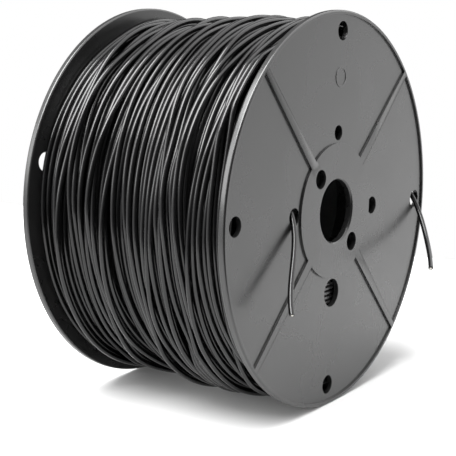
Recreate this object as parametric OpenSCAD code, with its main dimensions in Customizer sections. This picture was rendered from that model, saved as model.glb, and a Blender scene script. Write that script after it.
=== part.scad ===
// A plastic cable spool with single-core wire wound on it.
// The spool turns about +Y. The front flange faces -Y, and the spool stands on its two rims.

/* [Spool] */
// Diameter of each flange
flange_d = 250; // [246:1:270]
// Width over both flanges
spool_w = 151; // [150:1:170]
// Thickness of a flange at its hub, ribs and rim
flange_t = 4.5; // [4:0.1:5]
// Depth of the four panels below the ribs
panel_recess = 1.2; // [1:0.1:2]
// Diameter of the axle bore
bore_d = 40; // [30:1:42]
// Turn of the front flange, seen from the front
front_turn = -3.4; // [-45:0.1:45]
// Turn of the rear flange, seen from the front
rear_turn = -16.6; // [-45:0.1:45]

/* [Flange details] */
// Diameter of the raised hub
hub_d = 86; // [84:1:88]
// Width of a rib where it leaves the hub
rib_inner_w = 6.5; // [5:0.1:8]
// Width of a rib where it meets the rim
rib_outer_w = 4; // [3:0.1:6]
// Width of the raised rim
rim_w = 2.4; // [2:0.1:3]
// Radius on the edges of the rim
rim_round = 1.2; // [0.6:0.1:1.6]
// Diameter of the four rim holes
rim_hole_d = 12; // [8:0.5:14]
// Distance of the rim holes from the axis
rim_hole_r = 112.4; // [110:0.1:114]
// Diameter of the two drive holes
drive_hole_d = 12; // [8:0.5:14]
// Distance of the drive holes from the axis
drive_hole_r = 30; // [29:0.1:31]

/* [Barrel] */
// Outer diameter of the barrel
barrel_d = 86; // [86:1:88]
// Wall of the barrel
barrel_wall = 3; // [2.5:0.1:3.5]
// Length of the collar by which a flange sits in the barrel
collar_l = 16; // [14:1:20]

/* [Wire] */
// Diameter over the insulation
wire_d = 3.4; // [3:0.1:4]
// Diameter of the conductor
conductor_d = 1.6; // [1:0.1:2]
// Bare conductor past the cut insulation
bare_l = 0.6; // [0.4:0.1:2]
// Radial step from one layer of turns to the next
layer_step = 3.25; // [3:0.01:3.25]
// Turns missing from the last layers, beside the front flange, as a width
last_turns_w = 9.5; // [8:0.1:12]

/* [Hidden] */
LAYERS = 24;
SHORT_LAYERS = 3;
RIBS = 4;
HOLES = 4;
CLEAR = 0.1;
EPS = 0.01;
CUT = 1;

outer_y = spool_w / 2;
inner_y = outer_y - flange_t;
panel_t = flange_t - panel_recess;
flange_r = flange_d / 2;
rim_r = flange_r - rim_w;
hub_r = hub_d / 2;
bore_r = bore_d / 2;
bore_chamfer = 0.9;
barrel_r = barrel_d / 2;
barrel_bore_r = barrel_r - barrel_wall;
barrel_half_l = inner_y - CLEAR;

collar_wall = 3.2;
collar_clear = 0.2;
collar_r = barrel_bore_r - collar_clear;
latch_count = 4;
latch_angle = 17;
lug_angle = 16;
latch_w = 5.6;
latch_h = 2.4;
latch_inset = 6;
latch_gap = 0.2;
slot_angle = 3;
slot_root = 2;
rib_root = 2;
rib_into_rim = 0.4;

// Holes beside the hub, for the start of the wire: turn about the axis, distance and diameter.
hub_holes = [[0, 49.3, 11.4], [90, 49.3, 9.5], [180, 49.3, 11.2], [270, 52.4, 18]];

// A plain moulded ring on the panel above the bore.
mark_r = 84;
mark_d = 13;
mark_w = 1;
mark_h = 0.3;

// The wire's outer end comes off the last turns, out of the rim hole on the right, and droops.
outer_end_route = [
    [112.5, -61.5, 6.5], [113, -65, 3.5], [113.5, -68, 0], [113.5, -71, -3.5],
    [113.5, -73.5, -7.5], [113, -76, -11.5], [112, -78.5, -15.5], [110.5, -81, -19.5],
    [108.5, -83, -23], [106.5, -85.5, -26.5], [103.5, -88, -29.5], [101, -90.5, -32],
    [97.5, -92.5, -35], [94.5, -95, -37], [91, -97.5, -39.5], [87, -99.5, -41.5],
    [83.5, -102, -43.5], [79.5, -104, -45], [75.5, -106, -46.5]
];

// The wire's inner end comes off the first layers, out of the left hole beside the hub.
inner_end_route = [
    [-48.5, -71, 5.5], [-49.5, -73.5, 1.5], [-51.5, -75.5, -2], [-53.5, -77, -6],
    [-56, -78.5, -10], [-58.5, -80, -13.5], [-61, -81.5, -17.5], [-63.5, -82.5, -21.5],
    [-66, -83.5, -25], [-69, -85, -29], [-71.5, -86, -32.5], [-74, -87.5, -36.5],
    [-76.5, -89, -40], [-78.5, -90.5, -44], [-80.5, -92.5, -48]
];

CORD_SIDES = 8;
FULL = 96;

function layer_name(i) = str("wire_layer_", i < 10 ? "0" : "", i);
function unit(v) = v / norm(v);
function last(list) = list[len(list) - 1];

// Half of a cross-section, with the axle along the second axis, turned about the axis of the spool.
module about_axle() {
    rotate([-90, 0, 0]) rotate_extrude($fn = FULL) children();
}

// A ring about the axle, from y0 to y1, between two radii.
module ring(r_in, r_out, y0, y1) {
    about_axle() translate([r_in, y0]) square([r_out - r_in, y1 - y0]);
}

// A straight hole through a flange, parallel to the axle. The flange faces +Z here.
module hole(angle, r, d) {
    rotate(angle) translate([r, 0, inner_y - CUT]) cylinder(d = d, h = flange_t + 2 * CUT, $fn = 48);
}

// The flange's cross-section: thin panel, raised hub, and a raised rim with round edges.
module flange_section() {
    translate([bore_r, inner_y]) square([hub_r - bore_r, flange_t]);
    translate([bore_r, inner_y]) square([rim_r + EPS - bore_r, panel_t]);
    translate([rim_r, inner_y]) square([rim_w - rim_round, flange_t]);
    translate([rim_r, inner_y + rim_round]) square([rim_w, flange_t - 2 * rim_round]);
    for (z = [inner_y + rim_round, outer_y - rim_round])
        translate([flange_r - rim_round, z]) circle(r = rim_round, $fn = 32);
}

module rib() {
    x0 = hub_r - rib_root;
    x1 = rim_r + rib_into_rim;
    translate([0, 0, inner_y + EPS]) linear_extrude(height = flange_t - EPS)
        polygon([
            [x0, -rib_inner_w / 2], [x1, -rib_outer_w / 2],
            [x1, rib_outer_w / 2], [x0, rib_inner_w / 2]
        ]);
}

// A sector of a ring, centred on the first axis.
module sector(r_in, r_out, angle, z0, z1) {
    rotate(-angle / 2) translate([0, 0, z0])
        rotate_extrude(angle = angle, $fn = FULL)
            translate([r_in, 0]) square([r_out - r_in, z1 - z0]);
}

// The collar that sits inside the barrel, with four sprung tongues whose lugs latch in its windows.
module collar() {
    z0 = inner_y - collar_l;
    lug_z = inner_y - latch_inset;
    difference() {
        translate([0, 0, z0]) cylinder(r = collar_r, h = collar_l + CUT, $fn = FULL);
        translate([0, 0, z0 - CUT])
            cylinder(r = collar_r - collar_wall, h = collar_l + 3 * CUT, $fn = FULL);
        for (k = [0:latch_count - 1])
            for (side = [-1, 1])
                rotate(45 + 90 * k + side * (latch_angle + slot_angle) / 2)
                    sector(
                        collar_r - collar_wall - CUT, collar_r + CUT,
                        slot_angle, z0 - CUT, inner_y - slot_root
                    );
    }
    for (k = [0:latch_count - 1])
        rotate(45 + 90 * k)
            sector(collar_r - 1, collar_r + latch_h, lug_angle, lug_z - latch_w, lug_z);
}

// One flange, facing +Z, with its first rim hole on the first axis.
module flange() {
    difference() {
        union() {
            rotate_extrude($fn = FULL) flange_section();
            for (k = [0:RIBS - 1]) rotate(45 + 90 * k) rib();
            collar();
            rotate(90) translate([mark_r, 0, inner_y + CUT]) difference() {
                cylinder(d = mark_d, h = panel_t - CUT + mark_h, $fn = 48);
                translate([0, 0, -CUT]) cylinder(d = mark_d - 2 * mark_w, h = flange_t, $fn = 48);
            }
        }
        translate([0, 0, inner_y - CUT]) cylinder(r = bore_r, h = flange_t + 2 * CUT, $fn = FULL);
        translate([0, 0, outer_y - bore_chamfer])
            cylinder(r1 = bore_r, r2 = bore_r + bore_chamfer + EPS, h = bore_chamfer + EPS, $fn = FULL);
        for (k = [0:HOLES - 1]) hole(90 * k, rim_hole_r, rim_hole_d);
        for (k = [0:1]) hole(135 + 180 * k, drive_hole_r, drive_hole_d);
        for (h = hub_holes) hole(h[0], h[1], h[2]);
    }
}

module front_flange() {
    color("#333333") rotate([90, 0, 0]) rotate(front_turn) flange();
}

module rear_flange() {
    color("#333333") rotate(180) rotate([90, 0, 0]) rotate(-rear_turn) flange();
}

// A plain tube with four windows near each end, where the flanges latch.
module core_barrel() {
    window_r0 = barrel_bore_r - CUT;
    window_z1 = inner_y - latch_inset + latch_gap;
    window_z0 = window_z1 - latch_w - 2 * latch_gap;
    color("#2b2b2b") difference() {
        ring(barrel_bore_r, barrel_r, -barrel_half_l, barrel_half_l);
        rotate([90, 0, 0]) rotate(front_turn) for (k = [0:latch_count - 1])
            rotate(45 + 90 * k) sector(window_r0, barrel_r + CUT, latch_angle, window_z0, window_z1);
        rotate(180) rotate([90, 0, 0]) rotate(-rear_turn) for (k = [0:latch_count - 1])
            rotate(45 + 90 * k) sector(window_r0, barrel_r + CUT, latch_angle, window_z0, window_z1);
    }
}

// One layer of turns as a closed ring. The last layers stop short of the front flange.
module wire_layer(i) {
    r_in = barrel_r + CLEAR + (i - 1) * layer_step;
    y0 = -barrel_half_l + (i > LAYERS - SHORT_LAYERS ? last_turns_w - CLEAR : 0);
    color(i % 2 == 0 ? "#1c1c1c" : "#242424")
        ring(r_in, r_in + layer_step - CLEAR, y0, barrel_half_l);
}

// Direction of a route at its point i.
function heading(route, i) =
    unit(route[min(i + 1, len(route) - 1)] - route[max(i - 1, 0)]);

// The corners of a cord's cross-section at point i of its route.
function cord_ring(route, i, d) =
    let (t = heading(route, i))
    let (across = unit(cross(t, [0, 0, 1])))
    let (over = cross(across, t))
    [for (k = [0:CORD_SIDES - 1])
        let (a = 360 * k / CORD_SIDES)
        route[i] + d / 2 * (cos(a) * across + sin(a) * over)];

// A cord of diameter d, swept along a route.
module swept_cord(route, d) {
    n = CORD_SIDES;
    m = len(route);
    corners = [for (i = [0:m - 1]) each cord_ring(route, i, d)];
    sides = [for (i = [0:m - 2]) for (k = [0:n - 1])
        let (k2 = (k + 1) % n)
        each [[i * n + k, i * n + k2, (i + 1) * n + k2], [i * n + k, (i + 1) * n + k2, (i + 1) * n + k]]];
    start_cap = [[for (k = [n - 1:-1:0]) k]];
    end_cap = [[for (k = [0:n - 1]) (m - 1) * n + k]];
    polyhedron(points = corners, faces = concat(sides, start_cap, end_cap), convexity = 4);
}

// A route made longer by s at its far end, and by s0 at its start.
function longer(route, s, s0 = 0) = concat(
    s0 == 0 ? [] : [route[0] - s0 * heading(route, 0)],
    route,
    [last(route) + s * heading(route, len(route) - 1)]
);

module end_insulation(route) {
    color("#1c1c1c") difference() {
        swept_cord(route, wire_d);
        swept_cord(longer(route, CUT, CUT), conductor_d);
    }
}

module end_conductor(route) {
    color("#c8c8cc") swept_cord(longer(route, bare_l), conductor_d);
}

front_flange();
rear_flange();
core_barrel();
for (i = [1:LAYERS])
    wire_layer(i);
end_insulation(outer_end_route);  // outer_end_insulation
end_conductor(outer_end_route);  // outer_end_conductor
end_insulation(inner_end_route);  // inner_end_insulation
end_conductor(inner_end_route);  // inner_end_conductor
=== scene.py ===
import math

import bmesh
import bpy
import numpy as np
from mathutils import Matrix, Vector


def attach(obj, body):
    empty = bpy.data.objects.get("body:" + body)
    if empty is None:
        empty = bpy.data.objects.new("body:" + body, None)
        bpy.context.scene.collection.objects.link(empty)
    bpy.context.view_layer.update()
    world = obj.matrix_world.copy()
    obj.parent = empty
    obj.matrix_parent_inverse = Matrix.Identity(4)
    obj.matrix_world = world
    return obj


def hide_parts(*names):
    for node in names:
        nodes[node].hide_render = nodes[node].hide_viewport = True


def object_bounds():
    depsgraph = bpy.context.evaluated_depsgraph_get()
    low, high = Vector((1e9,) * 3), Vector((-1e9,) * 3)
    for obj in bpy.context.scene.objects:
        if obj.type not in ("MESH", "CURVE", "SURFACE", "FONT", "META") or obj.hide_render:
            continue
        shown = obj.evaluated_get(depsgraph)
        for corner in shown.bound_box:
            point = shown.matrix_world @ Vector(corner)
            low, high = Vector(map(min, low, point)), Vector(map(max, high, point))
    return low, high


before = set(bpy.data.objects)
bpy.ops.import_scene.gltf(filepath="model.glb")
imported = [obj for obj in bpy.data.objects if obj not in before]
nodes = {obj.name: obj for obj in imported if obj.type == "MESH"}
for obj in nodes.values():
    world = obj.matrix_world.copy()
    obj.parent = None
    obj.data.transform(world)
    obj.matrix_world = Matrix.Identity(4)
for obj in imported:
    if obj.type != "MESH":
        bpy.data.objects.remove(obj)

cad_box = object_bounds()
scene = bpy.context.scene


# The camera stands to the front left of the spool, a little above its axle, and looks slightly down
# at the front flange and the winding. A long lens from 0.83 m keeps the flanges nearly true circles.
VIEW_TURN = math.radians(55.55)
VIEW_DROP = math.radians(10.47)
VIEW_DISTANCE = 0.8268
AIM_RIGHT, AIM_UP = -0.0062, -0.0184
LENS_MM, SENSOR_MM = 98.32, 36.0

looking = Vector((
    math.sin(VIEW_TURN) * math.cos(VIEW_DROP),
    math.cos(VIEW_TURN) * math.cos(VIEW_DROP),
    -math.sin(VIEW_DROP),
))
rightward = Vector((math.cos(VIEW_TURN), -math.sin(VIEW_TURN), 0))
upward = rightward.cross(looking)
camera = bpy.data.objects.new("camera", bpy.data.cameras.new("camera"))
scene.collection.objects.link(camera)
camera.data.lens = LENS_MM
camera.data.sensor_width = SENSOR_MM
camera.data.clip_start, camera.data.clip_end = 0.01, 60
camera.location = AIM_RIGHT * rightward + AIM_UP * upward - VIEW_DISTANCE * looking
camera.rotation_mode = "QUATERNION"
camera.rotation_quaternion = looking.to_track_quat("-Z", "Y")
scene.camera = camera


# The two ends of the wire: a 1.6 mm tinned copper conductor in black polyethylene, 3.4 mm over all.
# Both are cut square. They hang out of the front flange, still curled from the spool.
WIRE_D = 0.0034
CONDUCTOR_D = 0.0016
BARE_LENGTH = 0.0006
LINE_STEP = 0.0012
CORE_POINTS = 8
CUT_TURN = math.radians(50)
OUTER_ROUTE_MM = [
    (112.5, -61.5, 6.5), (113, -65, 3.5), (113.5, -68, 0), (113.5, -71, -3.5),
    (113.5, -73.5, -7.5), (113, -76, -11.5), (112, -78.5, -15.5), (110.5, -81, -19.5),
    (108.5, -83, -23), (106.5, -85.5, -26.5), (103.5, -88, -29.5), (101, -90.5, -32),
    (97.5, -92.5, -35), (94.5, -95, -37), (91, -97.5, -39.5), (87, -99.5, -41.5),
    (83.5, -102, -43.5), (79.5, -104, -45), (75.5, -106, -46.5),
]
INNER_ROUTE_MM = [
    (-48.5, -71, 5.5), (-49.5, -73.5, 1.5), (-51.5, -75.5, -2), (-53.5, -77, -6),
    (-56, -78.5, -10), (-58.5, -80, -13.5), (-61, -81.5, -17.5), (-63.5, -82.5, -21.5),
    (-66, -83.5, -25), (-69, -85, -29), (-71.5, -86, -32.5), (-74, -87.5, -36.5),
    (-76.5, -89, -40), (-78.5, -90.5, -44), (-80.5, -92.5, -48),
]


def linear(hex_colour):
    """An sRGB hex colour as linear RGBA."""
    shares = [int(hex_colour[i:i + 2], 16) / 255 for i in (1, 3, 5)]
    return [s / 12.92 if s <= 0.04045 else ((s + 0.055) / 1.055) ** 2.4 for s in shares] + [1]


def add(tree, kind, inputs=None, **settings):
    """A new node with its settings. An input is a value, or another node's output to link."""
    node = tree.nodes.new(kind)
    for name, value in settings.items():
        setattr(node, name, value)
    for name, value in (inputs or {}).items():
        if isinstance(value, bpy.types.NodeSocket):
            tree.links.new(value, node.inputs[name])
        else:
            node.inputs[name].default_value = value
    return node


def new_material(name):
    """An empty material with its Principled shader: (material, tree, shader)."""
    material = bpy.data.materials.new(name)
    material.use_nodes = True
    tree = material.node_tree
    tree.nodes.clear()
    shader = add(tree, "ShaderNodeBsdfPrincipled")
    add(tree, "ShaderNodeOutputMaterial", {"Surface": shader.outputs["BSDF"]})
    return material, tree, shader


def blended(tree, factor, low, high):
    """A colour between two, by a factor."""
    mix = add(tree, "ShaderNodeMix", data_type="RGBA")
    tree.links.new(factor, mix.inputs["Factor"])
    mix.inputs["A"].default_value = linear(low)
    mix.inputs["B"].default_value = linear(high)
    return mix.outputs["Result"]


def ranged(tree, value, low, high, source=(0.3, 0.7)):
    """A value mapped from a source range to another one."""
    return add(tree, "ShaderNodeMapRange", {
        "Value": value, "From Min": source[0], "From Max": source[1],
        "To Min": low, "To Max": high,
    }).outputs["Result"]


# Extruded polyethylene insulation, black and semi-gloss: smooth along the wire, with a faint
# waviness from the die and a little dust that dulls the gloss in patches.
DIE_RIPPLE = 0.0012
DUST_PATCH = 0.030
insulation, tree, shader = new_material("extruded_polyethylene")
place = add(tree, "ShaderNodeTexCoord").outputs["Object"]
ripple = add(tree, "ShaderNodeTexNoise", {
    "Vector": place, "Scale": 1 / DIE_RIPPLE, "Detail": 2.0, "Roughness": 0.5})
dust = add(tree, "ShaderNodeTexNoise", {
    "Vector": place, "Scale": 1 / DUST_PATCH, "Detail": 4.0, "Roughness": 0.6})
tree.links.new(blended(tree, dust.outputs["Fac"], "#070707", "#0f0f10"), shader.inputs["Base Color"])
tree.links.new(ranged(tree, dust.outputs["Fac"], 0.15, 0.24), shader.inputs["Roughness"])
shader.inputs["IOR"].default_value = 1.44
bump = add(tree, "ShaderNodeBump", {
    "Height": ripple.outputs["Fac"], "Strength": 0.12, "Distance": 0.00005})
tree.links.new(bump.outputs["Normal"], shader.inputs["Normal"])

# Tinned copper, cut with pliers: bright, slightly rough where the blades sheared it.
SHEAR_MARK = 0.0003
tinned_copper, tree, shader = new_material("cut_tinned_copper")
place = add(tree, "ShaderNodeTexCoord").outputs["Object"]
shear = add(tree, "ShaderNodeTexNoise", {
    "Vector": place, "Scale": 1 / SHEAR_MARK, "Detail": 3.0, "Roughness": 0.6})
tree.links.new(blended(tree, shear.outputs["Fac"], "#b9b5ad", "#e2dfd8"), shader.inputs["Base Color"])
tree.links.new(ranged(tree, shear.outputs["Fac"], 0.22, 0.42), shader.inputs["Roughness"])
shader.inputs["Metallic"].default_value = 1.0
bump = add(tree, "ShaderNodeBump", {
    "Height": shear.outputs["Fac"], "Strength": 0.4, "Distance": 0.00005})
tree.links.new(bump.outputs["Normal"], shader.inputs["Normal"])


def link_piece(name, mesh, material, stands_for):
    """A finished piece of the spool, on its CAD body."""
    piece = bpy.data.objects.new(name, mesh)
    scene.collection.objects.link(piece)
    mesh.materials.clear()
    mesh.materials.append(material)
    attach(piece, "root")
    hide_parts(*stands_for)
    return piece


def smooth_line(points, step, bends):
    """A polynomial through a route, of degree bends, with its points about step apart."""
    route = np.array(points, float)
    along = np.concatenate([[0], np.cumsum(np.linalg.norm(np.diff(route, axis=0), axis=1))])
    at = np.linspace(0, along[-1], round(along[-1] / step) + 1)
    return np.stack([
        np.polynomial.Polynomial.fit(along, route[:, k], bends)(at) for k in range(3)
    ], axis=1)


def tube_mesh(name, line, diameter, bevel_resolution):
    """A closed round tube along a line, as a mesh."""
    curve = bpy.data.curves.new(name, "CURVE")
    curve.dimensions = "3D"
    curve.bevel_depth = diameter / 2
    curve.bevel_resolution = bevel_resolution
    curve.use_fill_caps = True
    spline = curve.splines.new("POLY")
    spline.points.add(len(line) - 1)
    spline.points.foreach_set("co", np.c_[line, np.ones(len(line))].astype(np.float32).ravel())
    holder = bpy.data.objects.new(name, curve)
    scene.collection.objects.link(holder)
    mesh = bpy.data.meshes.new_from_object(holder)
    bpy.data.objects.remove(holder)
    bpy.data.curves.remove(curve)
    mesh.name = name
    return mesh


def wire_end(which, route_mm, bends):
    """One end of the wire: its insulation, and the conductor that shows at the cut."""
    line = smooth_line(np.array(route_mm) / 1000, LINE_STEP, bends)
    insulation_mesh = tube_mesh(which + "_insulation", line, WIRE_D, bevel_resolution=6)
    insulation_mesh.shade_smooth()
    shell = link_piece(which + "_wire", insulation_mesh, insulation,
                       [which + "_insulation"])
    heading = (line[-1] - line[-3]) / np.linalg.norm(line[-1] - line[-3])
    tip = np.vstack([line[-CORE_POINTS:], line[-1:] + heading * BARE_LENGTH])
    core_mesh = tube_mesh(which + "_conductor", tip, CONDUCTOR_D, bevel_resolution=4)
    core_mesh.shade_smooth()
    core = link_piece(which + "_core", core_mesh, tinned_copper,
                      [which + "_conductor"])
    for mesh in (insulation_mesh, core_mesh):
        mesh.set_sharp_from_angle(angle=CUT_TURN)
    return shell, core, line


outer_wire, outer_core, outer_line = wire_end("outer_end", OUTER_ROUTE_MM, bends=4)
inner_wire, inner_core, inner_line = wire_end("inner_end", INNER_ROUTE_MM, bends=3)


# The two flanges are one moulding, used twice: black recycled polystyrene with a raised hub, four
# tapered ribs and a raised rim, and a collar behind that latches in the barrel. Its edges are
# rounded by the mould.
EDGE_ROUND = 0.00010
SHARP_TURN = math.radians(35)
MERGE = 0.00001

# Moulded polystyrene, black and satin: a broad soft reflection, broken by faint flow marks.
moulded, tree, shader = new_material("moulded_polystyrene")
FLOW_MARK = 0.045
MOULD_GRAIN = 0.0009
place = add(tree, "ShaderNodeTexCoord").outputs["Object"]
flow = add(tree, "ShaderNodeTexNoise", {
    "Vector": place, "Scale": 1 / FLOW_MARK, "Detail": 5.0, "Roughness": 0.55, "Distortion": 0.6})
grain = add(tree, "ShaderNodeTexNoise", {
    "Vector": place, "Scale": 1 / MOULD_GRAIN, "Detail": 3.0, "Roughness": 0.6})
tree.links.new(blended(tree, flow.outputs["Fac"], "#161616", "#1e1e1e"), shader.inputs["Base Color"])
tree.links.new(ranged(tree, flow.outputs["Fac"], 0.24, 0.32), shader.inputs["Roughness"])
shader.inputs["IOR"].default_value = 1.59
bump = add(tree, "ShaderNodeBump", {
    "Height": grain.outputs["Fac"], "Strength": 0.08, "Distance": 0.00004})
tree.links.new(bump.outputs["Normal"], shader.inputs["Normal"])


def rounded_copy(node, name):
    """A CAD node's shape as one welded mesh."""
    mesh = bpy.data.meshes.new(name)
    shape = bmesh.new()
    shape.from_mesh(nodes[node].data)
    bmesh.ops.remove_doubles(shape, verts=shape.verts, dist=MERGE)
    shape.to_mesh(mesh)
    shape.free()
    mesh.shade_smooth()
    return mesh


def round_edges(piece):
    """The mould's small radius on every edge, with the faces between kept flat to the eye."""
    bevel = piece.modifiers.new("moulded_edges", "BEVEL")
    bevel.width = EDGE_ROUND
    bevel.segments = 2
    bevel.limit_method = "ANGLE"
    bevel.angle_limit = SHARP_TURN
    bevel.use_clamp_overlap = False
    flat = piece.modifiers.new("flat_faces", "WEIGHTED_NORMAL")
    flat.weight = 100
    flat.keep_sharp = True


for which in ("front_flange", "rear_flange"):
    flange = link_piece("moulded_" + which, rounded_copy(which, which), moulded,
                        [which])
    round_edges(flange)


# The barrel is a plain extruded tube of black regrind, and the flanges' collars latch into it. Only
# its inside shows, through the bore and the drive holes.
DIE_LINE = 0.0016
DIE_LINE_STRETCH = 0.03

# Extruded regrind: a duller black than the flanges, nearly dark grey, with long faint die lines.
tube_plastic, tree, shader = new_material("extruded_regrind_tube")
place = add(tree, "ShaderNodeTexCoord").outputs["Object"]
stretched = add(tree, "ShaderNodeMapping", {"Vector": place, "Scale": (1, DIE_LINE_STRETCH, 1)})
die_lines = add(tree, "ShaderNodeTexNoise", {
    "Vector": stretched.outputs["Vector"], "Scale": 1 / DIE_LINE, "Detail": 2.0, "Roughness": 0.5})
tree.links.new(blended(tree, die_lines.outputs["Fac"], "#3e3e3e", "#484848"),
               shader.inputs["Base Color"])
shader.inputs["Roughness"].default_value = 0.45
shader.inputs["IOR"].default_value = 1.59
nodes["core_barrel"].data.materials.clear()
nodes["core_barrel"].data.materials.append(tube_plastic)


# The winding is the same polyethylene wire, about 480 m as laid here, in 24 layers on the barrel. The
# machine lays its turns side by side on those below, and they wander, cross and leave gaps. The last
# layers stop short of the front flange on the side where the wire goes out through the rim.
LAYERS = 24
RING_LAYERS = 19
LAYER_STEP = 0.00302
FIRST_R = 0.0431
WINDING_HALF = 0.0709
LAST_HALF = 0.0599
TURN_STEPS = 144
WIRE_R = WIRE_D / 2
TURN_ROOM = 1.015
PRESSED = 0.97 * WIRE_D
OUTER_R = 0.119
SPAN = 8
SLIDE = 0.0017
SLIDE_CHOICES = 13
HEIGHT_COST, SLIDE_COST, CHANGE_COST = 0.6, 0.25, 3
Y_REACH, R_REACH = 3, 2
BED_TURNS = 41
rng = np.random.default_rng(2)


def ring_layer(number, arc_steps, spin_steps):
    """An even layer of turns: a row of round wires, spun about the axle."""
    r_mid = FIRST_R + (number - 1) * LAYER_STEP + WIRE_R
    turns = int(2 * WINDING_HALF / (WIRE_D * TURN_ROOM))
    pitch = (2 * WINDING_HALF - WIRE_D) / (turns - 1)
    shape = bmesh.new()
    for k in range(turns):
        middle = Matrix.Translation((r_mid, -WINDING_HALF + WIRE_R + k * pitch, 0))
        bmesh.ops.create_circle(shape, segments=arc_steps, radius=WIRE_R, matrix=middle)
    bmesh.ops.spin(shape, geom=shape.verts[:] + shape.edges[:], cent=(0, 0, 0), axis=(0, 1, 0),
                   angle=2 * math.pi, steps=spin_steps, use_merge=True)
    bmesh.ops.recalc_face_normals(shape, faces=shape.faces)
    mesh = bpy.data.meshes.new(f"layer_{number:02d}")
    shape.to_mesh(mesh)
    shape.free()
    mesh.shade_smooth()
    return mesh


def wander(count, knot_turns, size):
    """A smooth random drift along the wire, with a knot every so many turns."""
    knots = rng.normal(0, size, int(count / knot_turns) + 4)
    at = np.arange(count * TURN_STEPS) / TURN_STEPS / knot_turns + 1
    low = at.astype(int)
    t = at - low
    a, b, c, d = (knots[low + k] for k in (-1, 0, 1, 2))
    return ((a + 4 * b + c) * (1 - t) + (b + 4 * c + d) * t) / 6


def rest_heights(y, held_y, held_r):
    """How far from the axle a wire's centre rests at each y, on the turns that lie below it."""
    gap = np.abs(y[..., None] - held_y[:, None, :])
    lift = np.sqrt(np.clip(PRESSED ** 2 - gap ** 2, 0, None))
    height = np.where(gap < PRESSED, held_r[:, None, :] + lift, 0)
    return height.max(axis=2)


def blurred(values, before, reach):
    """Values smoothed along the wire, after the ones before them."""
    kernel = np.exp(-0.5 * (np.arange(-3 * reach, 3 * reach + 1) / reach) ** 2)
    kernel /= kernel.sum()
    padded = np.concatenate([before[-3 * reach:], values, np.full(3 * reach, values[-1])])
    return np.convolve(padded, kernel, "valid")


def pulled_tight(r):
    """The heights of a tight wire, which runs straight from each high point down to the next turns."""
    reach = np.arange(-SPAN, SPAN + 1)
    near = np.lib.stride_tricks.sliding_window_view(np.pad(r, SPAN, mode="edge"), 2 * SPAN + 1)
    low = near.min(axis=1)
    fall = math.sqrt(OUTER_R / 2) * 2 * math.pi / TURN_STEPS * np.abs(reach)
    lift = (np.sqrt(near - low[:, None]) - fall).max(axis=1)
    return blurred(low + lift ** 2, np.full(3 * R_REACH, r[0]), R_REACH)


def lay(y_aim, y_low, held_y, held_r):
    """Lays turns one by one where they rest best near their aim. Returns the wire's y and r."""
    slide = np.linspace(-SLIDE, SLIDE, SLIDE_CHOICES)
    all_y, all_r = [], []
    last = 0
    before_y = None
    for k in range(len(y_aim) // TURN_STEPS):
        aim = y_aim[k * TURN_STEPS:(k + 1) * TURN_STEPS]
        choice = np.clip(aim[:, None] + slide, y_low[:, None], WINDING_HALF - WIRE_R)
        height = rest_heights(choice, held_y, held_r)
        cost = HEIGHT_COST * height * 1000 + SLIDE_COST * (slide * 1000) ** 2
        step_cost = CHANGE_COST * ((slide[:, None] - slide[None, :]) * 1000) ** 2
        total = cost[0] + step_cost[last]
        came = np.zeros((TURN_STEPS, len(slide)), int)
        for j in range(1, TURN_STEPS):
            way = total[None, :] + step_cost
            came[j] = way.argmin(1)
            total = way.min(1) + cost[j]
        picked = np.zeros(TURN_STEPS, int)
        picked[-1] = total.argmin()
        for j in range(TURN_STEPS - 1, 0, -1):
            picked[j - 1] = came[j][picked[j]]
        last = picked[-1]
        y = choice[np.arange(TURN_STEPS), picked]
        y = blurred(y, np.full(3 * Y_REACH, y[0]) if before_y is None else before_y, Y_REACH)
        r = rest_heights(y[:, None], held_y, held_r)[:, 0]
        before_y = y
        held_y = np.c_[held_y, y]
        held_r = np.c_[held_r, r]
        all_y.append(y)
        all_r.append(r)
    r = pulled_tight(np.concatenate(all_r))
    held_r = np.c_[held_r[:, :-len(all_r)], r.reshape(-1, TURN_STEPS).T]
    return np.concatenate(all_y), r, held_y, held_r


def led_out(line, target, heading):
    """A layer whose last turn bends out of the winding, to where the wire's loose end starts."""
    start = line[-LEAD_STEPS - 1]
    way = start - line[-LEAD_STEPS - 2]
    first = start + way / np.linalg.norm(way) * LEAD_ALONG
    second = target - heading * LEAD_OUT
    t = np.linspace(0, 1, 2 * LEAD_STEPS + 1)[:, None]
    bend = (start * (1 - t) ** 3 + 3 * first * t * (1 - t) ** 2
            + 3 * second * t ** 2 * (1 - t) + target * t ** 3)
    return np.vstack([line[:-LEAD_STEPS - 1], bend])


bed = np.linspace(-WINDING_HALF + WIRE_R, WINDING_HALF - WIRE_R, BED_TURNS)
bed_r = FIRST_R + (RING_LAYERS - 1) * LAYER_STEP + WIRE_R
held_y = np.tile(bed, (TURN_STEPS, 1))
held_r = np.full((TURN_STEPS, BED_TURNS), bed_r)

# How each upper layer is laid: number, turns, whether it runs to the rear, how far its turns stray.
PASSES = [
    (20, 40, False, 0.0006),
    (21, 40, True, 0.0008),
    (22, 38, False, 0.0014),
    (23, 36, True, 0.0028),
    (24, 34, False, 0.0036),
]
REAR = WINDING_HALF - WIRE_R
KNOT, LONG_KNOT = 0.12, 3
LONG_STRAY = 0.0010
REAR_SHARE = 0.30
SHORT_FROM, SAG_FROM = 22, 23
OPEN_COSINE, OPEN_OVER = 0.70, 0.15
SAG = 0.0018
MOST_R = 0.1242 - WIRE_R
LEAD_STEPS = 20
LEAD_ALONG, LEAD_OUT = 0.034, 0.022
around = np.cos(2 * math.pi * np.arange(TURN_STEPS) / TURN_STEPS)
open_side = np.clip((around - OPEN_COSINE) / OPEN_OVER, 0, 1)
front_limit = WIRE_R - WINDING_HALF + open_side * (WINDING_HALF - LAST_HALF)
turn = 0
turn_total = sum(p[1] for p in PASSES)
OUTER_TURN = math.atan2(OUTER_ROUTE_MM[0][2], OUTER_ROUTE_MM[0][0])
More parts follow.
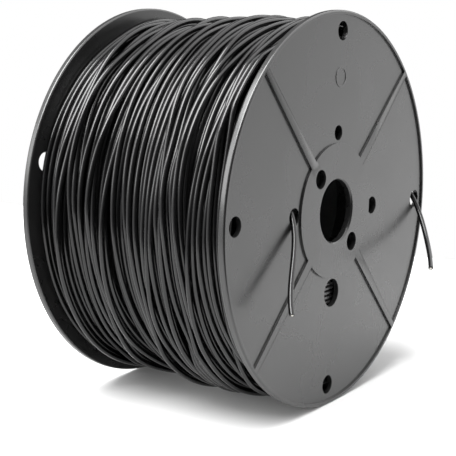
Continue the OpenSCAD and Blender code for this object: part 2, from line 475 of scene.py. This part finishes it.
first_angle = OUTER_TURN + 2 * math.pi * turn_total
for number, turns, to_rear, stray in PASSES:
    front = front_limit if number >= SHORT_FROM else np.full(TURN_STEPS, WIRE_R - WINDING_HALF)
    along = np.arange(turns * TURN_STEPS) / (turns * TURN_STEPS)
    if number == LAYERS:
        along = np.where(along < REAR_SHARE, along * 0.5 / REAR_SHARE,
                         0.5 + (along - REAR_SHARE) * 0.5 / (1 - REAR_SHARE))
    along = along if to_rear else 1 - along
    start = np.tile(front, turns)
    aim = (start + (REAR - start) * along + wander(turns, KNOT, stray)
           + wander(turns, LONG_KNOT, LONG_STRAY))
    y, r, held_y, held_r = lay(aim, front, held_y, held_r)
    angle = first_angle - 2 * math.pi * (turn + np.arange(turns * TURN_STEPS) / TURN_STEPS)
    if number >= SAG_FROM:
        r = r + SAG * np.clip(-np.sin(angle), 0, 1) ** 2
    r = np.minimum(r, MOST_R)
    line = np.stack([r * np.cos(angle), y, r * np.sin(angle)], axis=1)
    if number == LAYERS:
        way_out = outer_line[1] - outer_line[0]
        line = led_out(line, outer_line[0], way_out / np.linalg.norm(way_out))
    mesh = tube_mesh(f"layer_{number:02d}", line, WIRE_D, bevel_resolution=2)
    mesh.shade_smooth()
    link_piece(f"wound_layer_{number:02d}", mesh, insulation,
               [f"wire_layer_{number:02d}"])
    turn += turns

# The buried layers show only through the flanges' holes. Those beside the hub are finer.
NEAR_HUB = 6
FINE, COARSE = (10, 72), (6, 48)
for number in range(1, RING_LAYERS + 1):
    mesh = ring_layer(number, *(FINE if number <= NEAR_HUB else COARSE))
    link_piece(f"wound_layer_{number:02d}", mesh, insulation,
               [f"wire_layer_{number:02d}"])


# The studio isn't part of the object: a white paper floor under the spool, a large soft light above
# it on the left, a smaller one behind it on the left, a weak fill on the right, and soft surroundings.
FLOOR_Z = cad_box[0].z
FLOOR_LEFT, FLOOR_RIGHT = -0.50, 0.45
FLOOR_FRONT, FLOOR_BACK = -0.24, 0.80
floor_mesh = bpy.data.meshes.new("floor")
shape = bmesh.new()
bmesh.ops.create_grid(shape, x_segments=1, y_segments=1, size=1)
bmesh.ops.scale(shape, verts=shape.verts, vec=(
    (FLOOR_RIGHT - FLOOR_LEFT) / 2, (FLOOR_BACK - FLOOR_FRONT) / 2, 1))
bmesh.ops.translate(shape, verts=shape.verts, vec=(
    (FLOOR_RIGHT + FLOOR_LEFT) / 2, (FLOOR_BACK + FLOOR_FRONT) / 2, FLOOR_Z))
shape.to_mesh(floor_mesh)
shape.free()
floor = bpy.data.objects.new("floor", floor_mesh)
scene.collection.objects.link(floor)

# Matt white paper. Its faint glow stands in for bounced light, so the shadow doesn't go black.
paper, tree, shader = new_material("white_backdrop_paper")
shader.inputs["Base Color"].default_value = linear("#b9b9b9")
shader.inputs["Roughness"].default_value = 0.9
shader.inputs["Emission Color"].default_value = (1, 1, 1, 1)
shader.inputs["Emission Strength"].default_value = 0.06
floor_mesh.materials.append(paper)


def soft_light(name, toward, width, radiance):
    """A round soft light, seen from the spool under an angle, toward a direction."""
    light = bpy.data.objects.new(name, bpy.data.lights.new(name, "SUN"))
    scene.collection.objects.link(light)
    light.data.angle = math.radians(width)
    light.data.energy = radiance * math.pi * math.sin(light.data.angle / 2) ** 2
    light.rotation_mode = "QUATERNION"
    light.rotation_quaternion = Vector(toward).to_track_quat("Z", "Y")


soft_light("overhead_softbox", (-0.40, 0.13, 0.92), 52, 17.4)
soft_light("side_softbox", (-0.76, 0.52, 0.40), 34, 6)
soft_light("right_fill", (0.53, -0.40, 0.75), 84, 2.4)

world = bpy.data.worlds.new("studio")
scene.world = world
world.use_nodes = True
tree = world.node_tree
tree.nodes.clear()
direction = add(tree, "ShaderNodeTexCoord").outputs["Generated"]


def lobe(toward, start, strength):
    """A soft patch of the studio around a direction, from a cosine to the middle."""
    unit = Vector(toward).normalized()
    near = add(tree, "ShaderNodeVectorMath", {0: direction, 1: unit}, operation="DOT_PRODUCT")
    return ranged(tree, near.outputs["Value"], 0.0, strength, (start, 1.0))


def total(first, second):
    return add(tree, "ShaderNodeMath", {0: first, 1: second}, operation="ADD").outputs["Value"]


shade = total(lobe((0.90, -0.38, -0.42), 0.70, 2.2), lobe((-0.3, 0.35, 0.9), 0.0, 0.45))
shade = total(shade, lobe((-0.75, 0.66, 0.10), 0.3, 1.25))
seen = add(tree, "ShaderNodeLightPath").outputs["Is Camera Ray"]
strength = add(tree, "ShaderNodeMix", {"Factor": seen, "A": shade, "B": 1.0})
background = add(tree, "ShaderNodeBackground", {"Strength": strength.outputs["Result"]})
background.inputs["Color"].default_value = (1, 1, 1, 1)
add(tree, "ShaderNodeOutputWorld", {"Surface": background.outputs["Background"]})

scene.view_settings.view_transform = "Standard"
